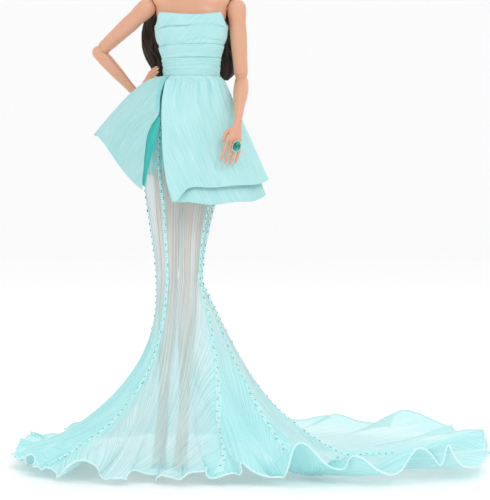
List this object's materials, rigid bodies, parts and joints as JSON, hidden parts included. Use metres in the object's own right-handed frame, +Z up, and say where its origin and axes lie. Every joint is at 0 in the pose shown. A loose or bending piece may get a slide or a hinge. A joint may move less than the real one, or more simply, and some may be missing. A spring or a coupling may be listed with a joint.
{
  "type": "fashion doll",
  "caption": "Jointed fashion doll standing in a strapless mermaid gown with a peplum, a sheer fitted skirt and a train, with a ring and pumps.",
  "frame": {"origin": "on the floor, on the sole of the left shoe under its forefoot", "axes": "+Z up; the doll faces -Y; its own left side is at +X, where the train spreads"},
  "size_m": [0.2583, 0.2158, 0.3021],
  "materials": {
    "skin_vinyl": "satin vinyl, warm tan",
    "joint_vinyl": "satin hard vinyl",
    "hair": "glossy dark brown fibre, wavy",
    "mint_cloth": "opaque mint crinkle chiffon over lining",
    "sheer_cloth": "sheer aqua crinkle chiffon with fine lengthwise creases",
    "shoe": "gloss, dark",
    "silver": "polished",
    "green_stone": "polished green oval cabochon"
  },
  "bodies": {
    "torso": {"chest_front": "skin_vinyl", "chest_back": "skin_vinyl", "waist_peg": "joint_vinyl", "pelvis": "skin_vinyl", "hip_axle": "joint_vinyl", "hair_right": "hair", "hair_middle": "hair", "hair_left": "hair", "bodice_shell": "mint_cloth", "neckline_band": "mint_cloth", "bust_band": "mint_cloth", "midriff_band": "mint_cloth", "waist_pleats": "mint_cloth", "waistband": "mint_cloth", "peplum_left": "mint_cloth", "peplum_right": "mint_cloth", "peplum_right_under": "mint_cloth", "hip_lining": "mint_cloth", "skirt_front_gore": "sheer_cloth", "skirt_godet_gore": "sheer_cloth", "skirt_side_gore": "sheer_cloth", "skirt_train_gore": "sheer_cloth", "skirt_back_gore": "sheer_cloth", "skirt_left_gore": "sheer_cloth"},
    "neck": {"neck_peg": "joint_vinyl"},
    "head": {"head": "skin_vinyl", "hair_cap": "hair"},
    "right_shoulder": {"right_shoulder_peg": "joint_vinyl"},
    "right_upper_arm": {"right_upper_arm": "skin_vinyl"},
    "right_elbow": {"right_elbow_peg": "joint_vinyl"},
    "right_forearm": {"right_forearm": "skin_vinyl"},
    "right_wrist": {"right_wrist_peg": "joint_vinyl"},
    "right_hand": {"right_hand": "skin_vinyl"},
    "right_thigh": {"right_thigh": "skin_vinyl", "right_knee_peg": "joint_vinyl"},
    "right_shin": {"right_shin": "skin_vinyl", "right_shoe_upper": "shoe", "right_shoe_sole": "shoe"},
    "left_shoulder": {"left_shoulder_peg": "joint_vinyl"},
    "left_upper_arm": {"left_upper_arm": "skin_vinyl"},
    "left_elbow": {"left_elbow_peg": "joint_vinyl"},
    "left_forearm": {"left_forearm": "skin_vinyl"},
    "left_wrist": {"left_wrist_peg": "joint_vinyl"},
    "left_hand": {"left_hand": "skin_vinyl", "ring_band": "silver", "ring_setting": "silver", "ring_stone": "green_stone"},
    "left_thigh": {"left_thigh": "skin_vinyl", "left_knee_peg": "joint_vinyl"},
    "left_shin": {"left_shin": "skin_vinyl", "left_shoe_upper": "shoe", "left_shoe_sole": "shoe"}
  },
  "joints": [
    {"name": "head_turn", "type": "hinge", "parent": "torso", "child": "neck", "pos_m": [0.0056, 0.008, 0.26], "axis": [0, 0, 1], "range_deg": [-60, 60], "deforming": ["hair_right", "hair_middle", "hair_left"]},
    {"name": "head_nod", "type": "hinge", "parent": "neck", "child": "head", "pos_m": [0.0056, 0.008, 0.2645], "axis": [1, 0, 0], "range_deg": [-10, 12]},
    {"name": "right_shoulder_swing", "type": "hinge", "parent": "torso", "child": "right_shoulder", "pos_m": [-0.018, 0.008, 0.2405], "axis": [1, 0, 0], "range_deg": [0, 45]},
    {"name": "right_shoulder_lift", "type": "hinge", "parent": "right_shoulder", "child": "right_upper_arm", "pos_m": [-0.018, 0.008, 0.2405], "axis": [0, 1, 0], "range_deg": [0, 60]},
    {"name": "right_elbow_swivel", "type": "hinge", "parent": "right_upper_arm", "child": "right_elbow", "pos_m": [-0.0439, 0.0215, 0.2184], "axis": [-0.7071, 0.3686, -0.6034], "range_deg": [0, 40]},
    {"name": "right_elbow_bend", "type": "hinge", "parent": "right_elbow", "child": "right_forearm", "pos_m": [-0.0439, 0.0215, 0.2184], "axis": [-0.2637, -0.9293, -0.2587], "range_deg": [-60, 0]},
    {"name": "right_wrist_turn", "type": "hinge", "parent": "right_forearm", "child": "right_wrist", "pos_m": [-0.0231, 0.022, 0.1954], "axis": [0.6707, 0.0161, -0.7416], "range_deg": [-8, 10]},
    {"name": "right_wrist_bend", "type": "hinge", "parent": "right_wrist", "child": "right_hand", "pos_m": [-0.0231, 0.022, 0.1954], "axis": [-0.5157, -0.7085, -0.4817], "range_deg": [-2, 0]},
    {"name": "left_shoulder_swing", "type": "hinge", "parent": "torso", "child": "left_shoulder", "pos_m": [0.0292, 0.008, 0.2405], "axis": [1, 0, 0], "range_deg": [-100, 0]},
    {"name": "left_shoulder_lift", "type": "hinge", "parent": "left_shoulder", "child": "left_upper_arm", "pos_m": [0.0292, 0.008, 0.2405], "axis": [0, -1, 0], "range_deg": [0, 70]},
    {"name": "left_elbow_swivel", "type": "hinge", "parent": "left_upper_arm", "child": "left_elbow", "pos_m": [0.0318, 0.0095, 0.2021], "axis": [0.0675, 0.0389, -0.997], "range_deg": [-45, 7]},
    {"name": "left_elbow_bend", "type": "hinge", "parent": "left_elbow", "child": "left_forearm", "pos_m": [0.0318, 0.0095, 0.2021], "axis": [-0.9908, 0.1198, -0.0624], "range_deg": [-2, 36]},
    {"name": "left_wrist_turn", "type": "hinge", "parent": "left_forearm", "child": "left_wrist", "pos_m": [0.0301, -0.0155, 0.1811], "axis": [-0.052, -0.7647, -0.6423], "range_deg": [-60, 60]},
    {"name": "left_wrist_bend", "type": "hinge", "parent": "left_wrist", "child": "left_hand", "pos_m": [0.0301, -0.0155, 0.1811], "axis": [0.9637, 0.1302, -0.233], "range_deg": [-45, 5]},
    {"name": "right_hip_swing", "type": "hinge", "parent": "torso", "child": "right_thigh", "pos_m": [-0.0064, 0.008, 0.168], "axis": [1, 0, 0], "range_deg": [-2, 0.8]},
    {"name": "right_knee_bend", "type": "hinge", "parent": "right_thigh", "child": "right_shin", "pos_m": [-0.0062, 0.0105, 0.098], "axis": [1, 0, 0], "range_deg": [0, 7]},
    {"name": "left_hip_swing", "type": "hinge", "parent": "torso", "child": "left_thigh", "pos_m": [0.012, 0.008, 0.168], "axis": [1, 0, 0], "range_deg": [-2, 0.8]},
    {"name": "left_knee_bend", "type": "hinge", "parent": "left_thigh", "child": "left_shin", "pos_m": [0.0039, 0.006, 0.098], "axis": [1, 0, 0], "range_deg": [0, 7]}
  ]
}
